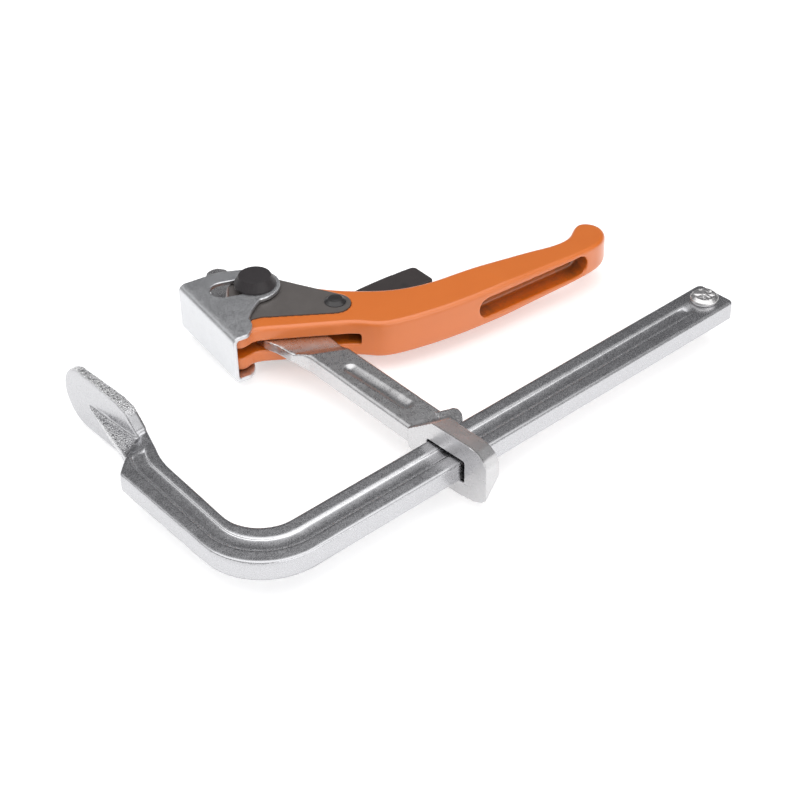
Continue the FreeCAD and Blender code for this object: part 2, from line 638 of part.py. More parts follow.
def ratchet_pawl():
    """The pawl: a tooth towards the arm's head, a boss on the small rivet and a tail."""
    body = new_body("ratchet_pawl", at_pawl)
    reach = size("ratchet_radius") + size("pawl_tooth_clear")
    tip = polar(reach, size("pawl_tooth_deg"))
    tip = (tip[0] - pawl_at[0], tip[1] - pawl_at[1])
    flank = polar(2.6, size("pawl_tooth_deg"))
    boss = size("pawl_boss_radius")
    outline = new_sketch(body, "PawlOutline")
    draw(outline, tip, (tip[0] + flank[0], tip[1] + flank[1]), (-1.6, 17.4), (1.2, 13), polar(boss, 60),
         (14, 2), (40.5, -7.2), (40.5, -12.4), (22, -9.6), (9, -6.4), polar(boss, -80),
         (polar(boss, -130), polar(boss, 180)), (tip[0], tip[1] - 2.2))
    pad(body, "PawlBlank", outline, "Sizes.pawl_thick")
    holes = new_sketch(body, "PawlHoles")
    circle(holes, (0, 0), size("pawl_rivet_dia") / 2 + size("running_gap"))
    circle(holes, trigger_pin_at(), size("trigger_pin_dia") / 2)
    pocket(body, "PawlHolesCut", holes, "2 * Sizes.pawl_thick")
    return body


def trigger_pin_at():
    """The trigger pin's place beside the small rivet."""
    return (34.0, -7.6)


def release_trigger():
    """The moulded trigger that caps the pawl's tail behind the handle."""
    body = new_body("release_trigger", at_pawl)
    outline = new_sketch(body, "TriggerOutline")
    draw(outline, (14.6, 4.6), ((30, 3.7), (46, 1.5)), ((47.6, 0.5), (48.1, -1.2)), (47.4, -11.2),
         ((46.7, -12.7), (45.2, -13.3)), ((28.4, -8.4), (16.2, 1.6)))
    blank = pad(body, "TriggerBlank", outline, "Sizes.trigger_thick")
    doc.recompute()
    soft = body.newObject("PartDesign::Fillet", "TriggerSoftEdges")
    half = size("trigger_thick") / 2
    soft.Base = (blank, edge_names(blank, lambda e: flat_at(e, half)))
    soft.Radius = 0.8
    doc.recompute()
    room = size("seat_gap")
    slot = new_sketch(body, "TailSlot")
    draw(slot, (10, 3.3), (14, 2 + room), (40.5 + room, -7.2 + room), (40.5 + room, -20), (10, -20))
    pocket(body, "TailSlotCut", slot, "Sizes.pawl_thick + 2 * Sizes.seat_gap")
    hole = new_sketch(body, "TriggerPinHole")
    circle(hole, trigger_pin_at(), size("trigger_pin_dia") / 2)
    pocket(body, "TriggerPinHoleCut", hole, "2 * Sizes.trigger_thick")
    return body


def trigger_pin():
    """The pin through the trigger and the pawl's tail."""
    body = new_body("trigger_pin", at_pawl)
    outline = new_sketch(body, "PinOutline")
    circle(outline, trigger_pin_at(), size("trigger_pin_dia") / 2)
    pad(body, "Pin", outline, "Sizes.trigger_thick")
    return body


def pawl_spring():
    """The compression spring between the slot's floor and the pawl's tail."""
    wire, across, turns = size("spring_wire"), size("spring_dia"), size("spring_turns")
    low = (pawl_at[0] + 17.0, pawl_at[1] - 20.75)
    length = 11.8
    coil = Part.makeHelix((length - wire) / turns, length - wire, (across - wire) / 2)
    profile = Part.Wire([Part.Circle(Vector((across - wire) / 2, 0, 0), Vector(0, 1, 0), wire / 2).toShape()])
    solid = Part.Wire(coil.Edges).makePipeShell([profile], True, True)
    item = doc.addObject("Part::Feature", "pawl_spring_coil")
    item.Label = "pawl_spring"
    item.Shape = solid
    item.Placement = Placement(Vector(pivot_x + low[0], pivot_y + low[1] + wire / 2, 0), Rotation(Vector(1, 0, 0), -90))
    return item


stop_at = Placement(Vector(size("rail_free_end") - size("stop_from_end"), rail_mid_y, 0), Rotation())
head_seat = size("handle_thick") / 2 + size("shoe_side_gap") + size("shoe_sheet") + size("seat_gap")
pieces = [
    rail_bar(),
    rivet("rail_stop_rivet", stop_at, "stop_shank_dia", size("rail_thick") / 2, "stop_head_dia",
          "stop_shank_dia", "stop_head_height", 0.3),
    sliding_arm(),
    lever_handle(),
    cheek_plate("cheek_plate_upper", 1),
    cheek_plate("cheek_plate_lower", -1),
    pressure_shoe(),
    rivet("pivot_rivet", at_pivot, "pivot_dia", head_seat, "pivot_head_dia", "pivot_head_flat",
          "pivot_head_height", 0.25),
    rivet("pawl_rivet", at_pawl, "pawl_rivet_dia", size("handle_thick") / 2 + size("plate_proud"), "pawl_rivet_head_dia",
          "pawl_rivet_head_flat", "pawl_rivet_head_height", 0.2),
    ratchet_pawl(),
    release_trigger(),
    trigger_pin(),
    pawl_spring(),
]
doc.recompute()

os.makedirs("parts", exist_ok=True)
failed = [item.Label for item in doc.Objects if "Invalid" in item.State or "Error" in item.State]
if failed:
    raise RuntimeError("these did not build: " + ", ".join(failed))
for piece in pieces:
    shape = piece.Shape
    if shape.isNull() or not shape.isValid():
        raise RuntimeError(f"{piece.Label} has no valid shape")
    box = shape.BoundBox
    print(f"{piece.Label}: {len(shape.Solids)} solid(s), {shape.Volume / 1000:.2f} cm3, "
          f"x {box.XMin:.1f}..{box.XMax:.1f}, y {box.YMin:.1f}..{box.YMax:.1f}, z {box.ZMin:.1f}..{box.ZMax:.1f}")
    shape.exportStep(f"parts/{piece.Label}.step")
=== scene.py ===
# %% [markdown]
# # A steel lever clamp
# A lever clamp is a handful of forged, folded and cast pieces, and each has its own skin. The
# bent rail and the sliding arm are forged steel with bright zinc on them. The lever is a casting
# with an orange coat. The shoe is folded sheet, the rivets are black, and the trigger is moulded.
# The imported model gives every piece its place. This file gives the pieces their surfaces, and it
# remakes the ones whose real edges are softer than the plain solids.

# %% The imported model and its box
import math
import bmesh
import bpy
from mathutils import Matrix, Vector, noise
from mathutils.bvhtree import BVHTree


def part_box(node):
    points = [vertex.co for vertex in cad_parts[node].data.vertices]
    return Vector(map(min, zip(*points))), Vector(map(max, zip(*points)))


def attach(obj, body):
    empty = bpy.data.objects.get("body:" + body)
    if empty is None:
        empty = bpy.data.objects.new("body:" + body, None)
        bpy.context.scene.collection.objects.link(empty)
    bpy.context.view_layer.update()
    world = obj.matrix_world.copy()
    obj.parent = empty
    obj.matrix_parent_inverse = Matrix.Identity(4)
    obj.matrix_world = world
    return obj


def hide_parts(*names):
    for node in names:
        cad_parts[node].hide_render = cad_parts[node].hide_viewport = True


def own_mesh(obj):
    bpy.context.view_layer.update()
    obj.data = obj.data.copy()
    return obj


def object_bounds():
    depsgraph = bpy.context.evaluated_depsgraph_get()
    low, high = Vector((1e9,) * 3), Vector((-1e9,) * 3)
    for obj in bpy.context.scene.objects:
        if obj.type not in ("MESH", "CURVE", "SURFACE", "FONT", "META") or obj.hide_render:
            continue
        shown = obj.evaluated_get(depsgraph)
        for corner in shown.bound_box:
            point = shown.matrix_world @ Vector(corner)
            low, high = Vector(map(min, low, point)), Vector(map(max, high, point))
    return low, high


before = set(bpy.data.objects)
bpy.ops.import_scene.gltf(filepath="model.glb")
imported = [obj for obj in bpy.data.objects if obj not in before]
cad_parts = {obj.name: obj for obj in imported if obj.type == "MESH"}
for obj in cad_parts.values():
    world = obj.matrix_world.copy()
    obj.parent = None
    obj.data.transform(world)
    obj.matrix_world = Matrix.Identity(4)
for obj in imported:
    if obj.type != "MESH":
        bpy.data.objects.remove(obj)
cad_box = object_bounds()

print("nodes:", len(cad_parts), "box:", [round(v, 4) for corner in cad_box for v in corner])

# %% [markdown]
# ## The camera
# The photograph looks down at the clamp from about 36 degrees, across the rail. A long lens keeps
# the far end of the rail nearly as large as the near bend. Three directions make the camera's
# matrix: what is right, what is up, and what is behind it.

# %% Camera
CAMERA_PLACE = Vector((-0.33259, -0.56231, 0.47045))
LOOK = Vector((0.5344, 0.6035, -0.5918)).normalized()
RIGHT = Vector((0.7393, -0.6731, -0.0187))
right = (RIGHT - LOOK * RIGHT.dot(LOOK)).normalized()
up = right.cross(LOOK)
camera_data = bpy.data.cameras.new("camera")
camera_data.lens = 85.58
camera_data.sensor_width = 36.0
camera_data.clip_end = 50.0
camera = bpy.data.objects.new("camera", camera_data)
turn = Matrix((right, up, -LOOK)).transposed().to_4x4()
camera.matrix_world = Matrix.Translation(CAMERA_PLACE) @ turn
bpy.context.collection.objects.link(camera)
bpy.context.scene.camera = camera
bpy.context.scene.view_settings.view_transform = "Standard"
print("camera", tuple(round(v, 3) for v in camera.location), "lens", camera_data.lens)

# %% [markdown]
# ## Shader maths as expressions
# A finish is a small graph of nodes, and it reads best as arithmetic. `Wire` wraps a socket, and
# each sum or product on it adds one Math node. `Finish` makes a material, adds any other node with
# one method, and sets the shader's own sockets.

# %% Wire and Finish
class Wire:
    """An output socket that takes arithmetic."""

    def __init__(self, finish, socket):
        self.finish, self.socket = finish, socket

    def math(self, operation, first, second=None):
        given = [first] if second is None else [first, second]
        return self.finish.node("ShaderNodeMath", {"operation": operation}, dict(enumerate(given)))

    def __add__(self, other):
        return self.math("ADD", self, other)

    def __sub__(self, other):
        return self.math("SUBTRACT", self, other)

    def __mul__(self, other):
        return self.math("MULTIPLY", self, other)

    def __pow__(self, other):
        return self.math("POWER", self, other)

    def __rsub__(self, other):
        return self.math("SUBTRACT", other, self)

    __radd__ = __add__
    __rmul__ = __mul__

    def __gt__(self, other):
        return self.math("GREATER_THAN", self, other)

    def __lt__(self, other):
        return self.math("LESS_THAN", self, other)

    def __abs__(self):
        return self.math("ABSOLUTE", self)

    def clamp(self):
        return self.finish.node("ShaderNodeClamp", {}, {0: self})


class Finish:
    """A material, made from nodes."""

    def __init__(self, name, **fixed):
        self.material = bpy.data.materials.new(name)
        self.material.use_nodes = True
        self.tree = self.material.node_tree
        self.shader = self.tree.nodes["Principled BSDF"]
        for socket, value in fixed.items():
            self.shader.inputs[socket.replace("_", " ")].default_value = value

    def node(self, kind, settings=None, inputs=None, output=0):
        made = self.tree.nodes.new(kind)
        for key, value in (settings or {}).items():
            setattr(made, key, value)
        for key, value in (inputs or {}).items():
            if isinstance(value, Wire):
                self.tree.links.new(value.socket, made.inputs[key])
            else:
                made.inputs[key].default_value = value
        return Wire(self, made.outputs[output])

    def place(self):
        return self.node("ShaderNodeTexCoord", {}, {}, "Object")

    def across(self):
        """The three coordinates of a point, as numbers."""
        apart = self.tree.nodes.new("ShaderNodeSeparateXYZ")
        self.tree.links.new(self.place().socket, apart.inputs[0])
        return [Wire(self, apart.outputs[k]) for k in range(3)]

    def grain(self, per_metre, detail=2.0, rough=0.5):
        """Noise from 0 to 1 with so many grains a metre."""
        return self.node("ShaderNodeTexNoise", {}, {"Vector": self.place(), "Scale": per_metre,
                                                    "Detail": detail, "Roughness": rough})

    def cells(self, per_metre):
        """A crystal pattern, with a colour of its own for each cell."""
        return self.node("ShaderNodeTexVoronoi", {},
                         {"Vector": self.place(), "Scale": per_metre}, "Color")

    def steps(self, value, low, high):
        """0 below the low value, 1 above the high one, smooth between."""
        return self.node("ShaderNodeMapRange", {"interpolation_type": "SMOOTHSTEP"},
                         {"Value": value, "From Min": low, "From Max": high})

    def mix(self, factor, first, second):
        """A colour between two others."""
        return self.node("ShaderNodeMix", {"data_type": "RGBA"}, {0: factor, 6: first, 7: second}, 2)

    def attribute(self, name):
        """A number that the piece's own mesh carries at each point."""
        return self.node("ShaderNodeAttribute", {"attribute_name": name}, {}, "Fac")

    def bump(self, height, depth, strength=1.0, under=None):
        """A normal that rises and falls by a depth in metres."""
        inputs = {"Height": height, "Distance": depth, "Strength": strength}
        if under is not None:
            inputs["Normal"] = under
        return self.node("ShaderNodeBump", {}, inputs)

    def drive(self, **links):
        """Joins wires to the shader's sockets."""
        for socket, wire in links.items():
            self.tree.links.new(wire.socket, self.shader.inputs[socket.replace("_", " ")])
        return self.material


print("shader helpers ready")

# %% [markdown]
# ## Zinc on forged steel
# Zinc makes a fine crystalline skin: each grain mirrors a little more or less than the next, so the
# steel sparkles when it is looked at closely. Forging leaves the flats faintly uneven, and the
# edges, rubbed in the barrel, are smoother than the flats. The outer edges also get a brighter
# tone, partly for the rubbing and partly as a painted highlight, and the inner corners get painted
# shade. `edge` is a number that each remade piece carries: above a half on outer edges, below a
# half in inner corners. A second number, which only the rail carries, marks its jaw's trimmed rim
# and the outer side of the rib. There the skin is brighter, with small dark pits; on the rib the
# brighter tone is a painted highlight.

# %% Plated steel
def rgba(red, green, blue):
    return (red, green, blue, 1.0)


RIPPLE_DEPTH, PIT_DEPTH, SPARKLE_DEPTH = 0.00012, 0.0006, 0.00002
GROOVE_WALL_HIGHLIGHT = rgba(0.93, 0.93, 0.95)
RAW_RIM_AND_RIB_HIGHLIGHT_TONE = rgba(0.97, 0.97, 0.98)
PIT_DARK = rgba(0.22, 0.22, 0.23)


def plated_steel(name, dark, light, rough, sparkle, ripple, relief=None):
    """Zinc-plated steel with a fine sparkle, a faint ripple, brighter outer edges (partly rubbed,
    partly a painted highlight) and painted shade in inner corners. `relief` gives a height in
    metres, and where the steel gets a painted highlight."""
    finish = Finish(name, Metallic=1.0)
    flake = finish.node("ShaderNodeSeparateColor", {}, {0: finish.cells(sparkle)})
    cloud = finish.grain(140, 4.0, 0.6)
    fine = finish.grain(sparkle * 0.6, 3.0, 0.7)
    tone = (flake * 0.15 + fine * 0.25 + cloud * 0.4 + 0.07).clamp()
    colour = finish.mix(tone, rgba(*dark), rgba(*light))
    # Outer edges get a brighter tone, partly for the rubbing and partly as a painted highlight.
    rubbed_edge_and_highlight = finish.steps(finish.attribute("edge"), 0.54, 0.8)
    # Inner corners get a darker tone below: painted shade.
    corner = 1 - finish.steps(finish.attribute("edge"), 0.3, 0.47)
    colour = finish.mix(rubbed_edge_and_highlight * 0.75, colour, rgba(*(min(1.0, v * 1.22) for v in light)))
    colour = finish.mix(corner * 0.45, colour, rgba(*(v * 0.45 for v in dark)))
    flats = finish.bump(cloud, RIPPLE_DEPTH, 0.5 * ripple)
    if relief:
        height, wall_highlight = relief(finish)
        flats = finish.bump(height, 1.0, 1.0, flats)
        # Painted highlight: the groove's walls get a brighter tone.
        colour = finish.mix(wall_highlight * 0.9, colour, GROOVE_WALL_HIGHLIGHT)
    # The jaw's rim and the rib get a brighter tone with dark pits; on the rib's outer side the
    # brighter tone is a painted highlight.
    raw_rim_and_rib_highlight = finish.attribute("raw_rim_and_rib_highlight")
    pits = finish.grain(1100, 2.0, 0.6)
    flats = finish.bump(finish.steps(pits, 0.35, 0.6) * raw_rim_and_rib_highlight, PIT_DEPTH, 1.0, flats)
    colour = finish.mix(raw_rim_and_rib_highlight * 0.95, colour, RAW_RIM_AND_RIB_HIGHLIGHT_TONE)
    colour = finish.mix(raw_rim_and_rib_highlight * finish.steps(pits, 0.54, 0.64) * 0.8, colour, PIT_DARK)
    roughness = flake * 0.12 + cloud * 0.1 + (rough - 0.11) - rubbed_edge_and_highlight * 0.1 - raw_rim_and_rib_highlight * 0.06
    skin = finish.bump(flake * 0.4 + fine, SPARKLE_DEPTH, 0.08, flats)
    return finish.drive(Base_Color=colour, Roughness=roughness, Normal=skin)


# %% [markdown]
# ## The rolled groove and the raw jaw
# The groove in the rail's flats has narrow steep walls and a nearly flat floor. The walls are as
# narrow as the faces of a fair mesh, so a bump draws them: it is worked out from the distance to
# the groove's middle line, and it stays sharp however near the camera comes. The line runs along
# the rail, round the bend, up the arm and, on a last arc, towards the jaw. In the photograph the
# walls are brighter than the flats, so they get a brighter tone too: a painted highlight, for the
# light that they mirror.

# %% Rolled groove
GROOVE_HALF, GROOVE_DEPTH = 0.0036, 0.0009
ARM_LEAN = math.radians(4.0)
RAIL_MID_Y, RAIL_GROOVE_END, ARM_GROOVE_END = -0.125, 0.2204, -0.0425
BEND_CENTRE, BEND_RADIUS = (0.0046, -0.1015), 0.0235
NECK_CENTRE, NECK_RADIUS = (0.007448, -0.053604), 0.023


def to_circle(x, y, centre, radius):
    """How far a point is from a circle."""
    beside, beyond = x - centre[0], y - centre[1]
    return abs((beside * beside + beyond * beyond) ** 0.5 - radius)


def past(x, y, centre):
    """1 on the far side of the line through a centre, square to the arm."""
    return ((y - centre[1]) * math.cos(ARM_LEAN) + (x - centre[0]) * math.sin(ARM_LEAN)) > 0.0


def groove_walls(finish):
    """What the solid's plain round groove lacks in depth, against the rolled one, and where the
    walls get a painted highlight."""
    x, y, z = finish.across()
    across, along = math.cos(ARM_LEAN), math.sin(ARM_LEAN)
    start = (BEND_CENTRE[0] - BEND_RADIUS * across, BEND_CENTRE[1] + BEND_RADIUS * along)
    to_arm = abs((x - start[0]) * across - (y - start[1]) * along)
    on_rail = x > BEND_CENTRE[0]
    on_arm, on_neck = past(x, y, BEND_CENTRE), past(x, y, NECK_CENTRE)
    up_arm = to_arm * (1 - on_neck) + to_circle(x, y, NECK_CENTRE, NECK_RADIUS) * on_neck
    bent = to_circle(x, y, BEND_CENTRE, BEND_RADIUS) * (1 - on_arm) + up_arm * on_arm
    away = abs(y - RAIL_MID_Y) * on_rail + bent * (1 - on_rail)
    bowl = (1 - (away * (1 / GROOVE_HALF)) ** 2.0).clamp()
    inside = 1 - finish.steps(away, GROOVE_HALF * 0.71, GROOVE_HALF)
    missing = inside * (bowl * (GROOVE_DEPTH * 0.25) + GROOVE_DEPTH * 0.75) - bowl * GROOVE_DEPTH
    on_flat = finish.steps(abs(z), 0.0030, 0.0034)
    before_rivet = 1 - finish.steps(x, RAIL_GROOVE_END, RAIL_GROOVE_END + 0.005)
    before_jaw = 1 - finish.steps(y, ARM_GROOVE_END, ARM_GROOVE_END + 0.003)
    in_run = before_rivet * before_jaw
    wall_highlight = finish.steps(away, GROOVE_HALF * 0.5, GROOVE_HALF * 0.72) * (
        1 - finish.steps(away, GROOVE_HALF * 0.95, GROOVE_HALF * 1.1))
    return missing * on_flat * in_run * -1.0, wall_highlight * on_flat * in_run


RAIL_STEEL = plated_steel("rail_steel", (0.485, 0.485, 0.50), (0.62, 0.62, 0.64), 0.27, 3000, 0.6,
                          groove_walls)
ARM_STEEL = plated_steel("arm_steel", (0.50, 0.495, 0.50), (0.70, 0.695, 0.705), 0.32, 2600, 1.1)
SHOE_STEEL = plated_steel("shoe_steel", (0.54, 0.545, 0.56), (0.84, 0.85, 0.87), 0.36, 2000, 0.8)
STOP_STEEL = plated_steel("stop_rivet_steel", (0.5, 0.49, 0.49), (0.8, 0.79, 0.79), 0.34, 1500, 0.7)
print("steel finishes:", [m.name for m in (RAIL_STEEL, ARM_STEEL, SHOE_STEEL, STOP_STEEL)])

# %% [markdown]
# ## The orange coat
# The lever is a casting under a baked powder coat. Powder flows into a skin with the faint dimples
# of an orange's peel. It is thinner over the edges, and the edges get a paler tone: partly the thin
# coat, partly a painted highlight. The fork's slot and the grip's pocket get painted shade, a dark
# brown that goes near black deep inside.
# `closed_in` is a number that the lever carries: 0 in the open and 1 deep inside. Round the pivot,
# where the shoe covers the lever's eye, the lever gets a near-black tone: painted shade under the
# shoe.

# %% Orange coat
PIVOT, SHOE_SHADE_RADIUS, SHOE_SHADE_FROM_Z = (0.094, 0.015), 0.0141, 0.0066
UNDER_SHOE_SHADE_TONE = rgba(0.10, 0.096, 0.095)


def orange_coat():
    finish = Finish("orange_coat", IOR=1.62, Coat_Weight=1.0, Coat_Roughness=0.28)
    peel = finish.grain(620, 2.0, 0.5)
    cloud = finish.grain(45, 3.0, 0.55)
    speck = finish.grain(2600, 2.0, 0.6)
    colour = finish.mix(cloud, rgba(0.73, 0.152, 0.002), rgba(0.79, 0.180, 0.005))
    # The edges get a paler tone, partly for the thinner coat and partly as a painted highlight.
    thin_coat_and_highlight = finish.steps(finish.attribute("edge"), 0.54, 0.85)
    # Painted shade: the more closed in a point is, the darker brown, down to near black.
    painted_slot_shade = finish.steps(finish.attribute("closed_in"), 0.25, 0.85)
    painted_deepest_shade = finish.steps(finish.attribute("closed_in"), 0.75, 1.0)
    colour = finish.mix(thin_coat_and_highlight * 0.3, colour, rgba(0.85, 0.33, 0.12))
    colour = finish.mix(painted_slot_shade * 0.85, colour, rgba(0.19, 0.07, 0.018))
    colour = finish.mix(painted_deepest_shade * 0.8, colour, rgba(0.03, 0.012, 0.006))
    x, y, z = finish.across()
    # Painted shade under the shoe: round the pivot, the top of the lever's eye gets a near-black
    # tone.
    from_pivot = ((x - PIVOT[0]) ** 2.0 + (y - PIVOT[1]) ** 2.0) ** 0.5
    under_shoe_shade = (from_pivot < SHOE_SHADE_RADIUS) * (abs(z) > SHOE_SHADE_FROM_Z)
    colour = finish.mix(under_shoe_shade * 0.9, colour, UNDER_SHOE_SHADE_TONE)
    roughness = cloud * 0.1 + speck * 0.08 + 0.3
    skin = finish.bump(peel + speck * 0.25, 0.00003, 0.6)
    return finish.drive(Base_Color=colour, Roughness=roughness, Normal=skin)


ORANGE_COAT = orange_coat()
print("coat:", ORANGE_COAT.name)

# %% [markdown]
# ## The dark pieces
# The cheek plates are phosphated sheet, a flat charcoal. The rivets are blackened and catch a
# narrow light on their cones. The trigger is moulded plastic with a fine spark-eroded grain. One
# function makes all of them, because they differ only in tone, gloss and the size of the grain.

# %% Dark finishes
def dark_skin(name, tone, rough, metal, per_metre, depth, spread=0.25, gloss=0.5):
    """A dark, fine-grained skin."""
    finish = Finish(name, Metallic=metal, Specular_IOR_Level=gloss)
    cloud = finish.grain(160, 4.0, 0.6)
    fine = finish.grain(per_metre, 3.0, 0.65)
    low = rgba(*(v * (1 - spread) for v in tone))
    high = rgba(*(v * (1 + spread) for v in tone))
    colour = finish.mix((cloud * 0.6 + fine * 0.5 - 0.05).clamp(), low, high)
    roughness = cloud * 0.12 + fine * 0.1 + (rough - 0.11)
    skin = finish.bump(fine + cloud * 0.4, depth, 0.5)
    return finish.drive(Base_Color=colour, Roughness=roughness, Normal=skin)


PLATE_STEEL = dark_skin("plate_steel", (0.135, 0.122, 0.116), 0.5, 0.35, 2200, 0.00002)
BLACK_RIVET = dark_skin("black_rivet", (0.038, 0.034, 0.036), 0.42, 0.0, 1500, 0.00003, 0.25, 0.26)
PAWL_RIVET_BLACK = dark_skin("pawl_rivet_black", (0.026, 0.024, 0.025), 0.3, 0.0, 1500, 0.00003,
                             0.25, 0.6)
TRIGGER_PLASTIC = dark_skin("trigger_plastic", (0.040, 0.033, 0.033), 0.5, 0.0, 1800, 0.00004,
                            0.25, 0.4)
PAWL_STEEL = dark_skin("pawl_steel", (0.2, 0.2, 0.2), 0.36, 1.0, 1800, 0.00002)
PIN_STEEL = dark_skin("pin_steel", (0.06, 0.055, 0.055), 0.4, 0.6, 2400, 0.00001, 0.15)
SPRING_STEEL = dark_skin("spring_steel", (0.36, 0.36, 0.37), 0.28, 1.0, 3000, 0.00001, 0.15)
print("dark finishes: 7")

# %% [markdown]
# ## Remaking a forged piece
# The plain solids have the right sizes, but their edges are sharper than a hammer or a mould can
# leave. A remesh lays an even net of small faces over a copy of the solid, and a few passes of
# smoothing round its edges, as forging does. How far each point moved tells how sharp the edge
# was, and that is stored as `edge` for the finishes. A little noise then makes the flats uneven.
# The noise only sinks the skin, so a flat never rises above the flat of its solid.

# %% Remake
def as_piece(mesh, name, material, body, slot_name, *nodes):
    """Links a mesh as a piece, gives it its finish and ties it to its body."""
    piece = bpy.data.objects.new(name, mesh)
    bpy.context.collection.objects.link(piece)
    mesh.materials.clear()
    mesh.materials.append(material)
    mesh.shade_smooth()
    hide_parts(*nodes)
    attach(piece, body)
    return piece


def merged(node):
    """A copy of a node's mesh with its loose triangles joined."""
    net = bmesh.new()
    net.from_mesh(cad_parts[node].data)
    bmesh.ops.remove_doubles(net, verts=net.verts, dist=2e-6)
    mesh = bpy.data.meshes.new(node + "_joined")
    net.to_mesh(mesh)
    net.free()
    return mesh


def evaluated(mesh, *modifiers):
    """The mesh after a list of modifiers, each a type and its settings."""
    holder = bpy.data.objects.new("holder", mesh)
    bpy.context.collection.objects.link(holder)
    for kind, settings in modifiers:
        modifier = holder.modifiers.new(kind.lower(), kind)
        for key, value in settings.items():
            setattr(modifier, key, value)
    graph = bpy.context.evaluated_depsgraph_get()
    made = bpy.data.meshes.new_from_object(holder.evaluated_get(graph))
    bpy.data.objects.remove(holder)
    return made


CALMING_PASSES = 60


def calmed(mesh, places):
    """Smooths the mesh near some places, each a point and a reach, where a form ends abruptly."""
    net = bmesh.new()
    net.from_mesh(mesh)
    near = [v for v in net.verts
            if any((v.co - Vector(place)).length < reach for place, reach in places)]
    level = net.verts.layers.float["edge"]
    for _ in range(CALMING_PASSES):
        bmesh.ops.smooth_vert(net, verts=near, factor=0.5,
                              use_axis_x=True, use_axis_y=True, use_axis_z=True)
    for vertex in near:
        vertex[level] = 0.5
    net.to_mesh(mesh)
    net.free()
    return len(near)


def remade(node, net_size, passes, wave, wave_size, extra=None, calm=()):
    """A node's shape as an even net with softened edges and a faint unevenness."""
    rough = evaluated(merged(node), ("REMESH", {"mode": "VOXEL", "voxel_size": net_size}))
    sharp = [v.co.copy() for v in rough.vertices]
    smooth = evaluated(rough, ("SMOOTH", {"factor": 0.5, "iterations": passes}))
    normals = [Vector(n.vector) for n in smooth.vertex_normals]
    store = smooth.attributes.new("edge", "FLOAT", "POINT")
    for i, vertex in enumerate(smooth.vertices):
        moved = (sharp[i] - vertex.co).dot(normals[i]) / net_size
        store.data[i].value = max(0.0, min(1.0, 0.5 + moved * 0.9))
    for i, vertex in enumerate(smooth.vertices):
        lift = noise.fractal(vertex.co / wave_size, 1.0, 2.0, 2) * wave
        if extra:
            lift += extra(vertex.co, normals[i])
        vertex.co += normals[i] * min(lift, 0.0)
    both_sides = [((x, y, side * z), reach) for x, y, z, reach in calm for side in (1, -1)]
    points = calmed(smooth, both_sides)
    print(node, "remade with", len(smooth.polygons), "faces,", points, "points calmed")
    return smooth


# %% [markdown]
# ## The rail
# One bar of rolled steel, bent at the corner, with the fixed jaw forged flat on its end. Its flats
# have a shallow groove, and its flanks are left slightly round where the bar was bent. The jaw's
# rim was squeezed out between the dies and trimmed, which leaves it rougher than the rest, so it
# gets pits. The solid's groove ends abruptly and the real one runs out, so both ends are calmed.

# %% Rail piece
JAW_START_Y, RIB_START_Y = -0.026, -0.036
RIM_PIT_DEPTH, FLANK_ROUNDING, BAR_HALF_THICKNESS = 0.0003, 0.00045, 0.0045


def ramp(value, low, high):
    """0 up to low, 1 from high on, and an even rise between."""
    return max(0.0, min(1.0, (value - low) / (high - low)))


def on_rim(place, normal):
    """1 on the jaw's trimmed rim, falling to 0 at its borders."""
    return (ramp(place.y, JAW_START_Y, JAW_START_Y + 0.004) * ramp(-abs(normal.x), -0.75, -0.5)
            * ramp(place.x, -0.0066, -0.0054))


def rail_relief(place, normal):
    """Pits on the jaw's rim, and flanks left slightly round where the bar was bent."""
    pit = RIM_PIT_DEPTH * abs(noise.fractal(place * 800, 1.0, 2.0, 2)) * on_rim(place, normal)
    towards_flat = min(1.0, abs(place.z) / BAR_HALF_THICKNESS) ** 4
    on_flank = ramp(-abs(normal.z), -0.8, -0.5)
    at_bend = ramp(-place.x, -0.03, -0.004) * ramp(-place.y, 0.044, 0.052)
    return -pit - FLANK_ROUNDING * towards_flat * on_flank * at_bend


GROOVE_ENDS = [(-0.0083, -0.0370, 0.0045, 0.0050), (0.2284, -0.125, 0.0040, 0.0042)]
rail_mesh = remade("rail_bar", 0.0006, 3, 0.00005, 0.009, rail_relief, GROOVE_ENDS)
# Marks the jaw's trimmed rim, and at 0.7 the rib's outer side, where it paints a highlight.
store = rail_mesh.attributes.new("raw_rim_and_rib_highlight", "FLOAT", "POINT")
for i, vertex in enumerate(rail_mesh.vertices):
    place, normal = vertex.co, rail_mesh.vertex_normals[i].vector
    up_rib = ramp(place.y, RIB_START_Y, RIB_START_Y + 0.008) * ramp(-place.x, 0.0062, 0.0085)
    store.data[i].value = max(on_rim(place, normal), 0.7 * up_rib)
as_piece(rail_mesh, "rail_with_fixed_jaw", RAIL_STEEL, "rail", "rail_steel", "rail_bar")

# %% [markdown]
# ## The sliding arm
# A drop forging, and the softest shape of all. Its collar grips the rail when the lever pushes.

# %% Arm piece
as_piece(remade("sliding_arm", 0.0005, 5, 0.0001, 0.007), "forged_sliding_arm",
         ARM_STEEL, "arm", "arm_steel", "sliding_arm")

# %% [markdown]
# ## The lever
# A casting, with the radii that a mould needs, and a fork at its head for the arm. A fan of short
# rays from each point tells how closed in it is, which is how the finish knows where to paint
# shade in the deep places.

# %% Lever piece
FAN, GOLDEN_TURN, RAY_REACH = 12, 2.39996, 0.012


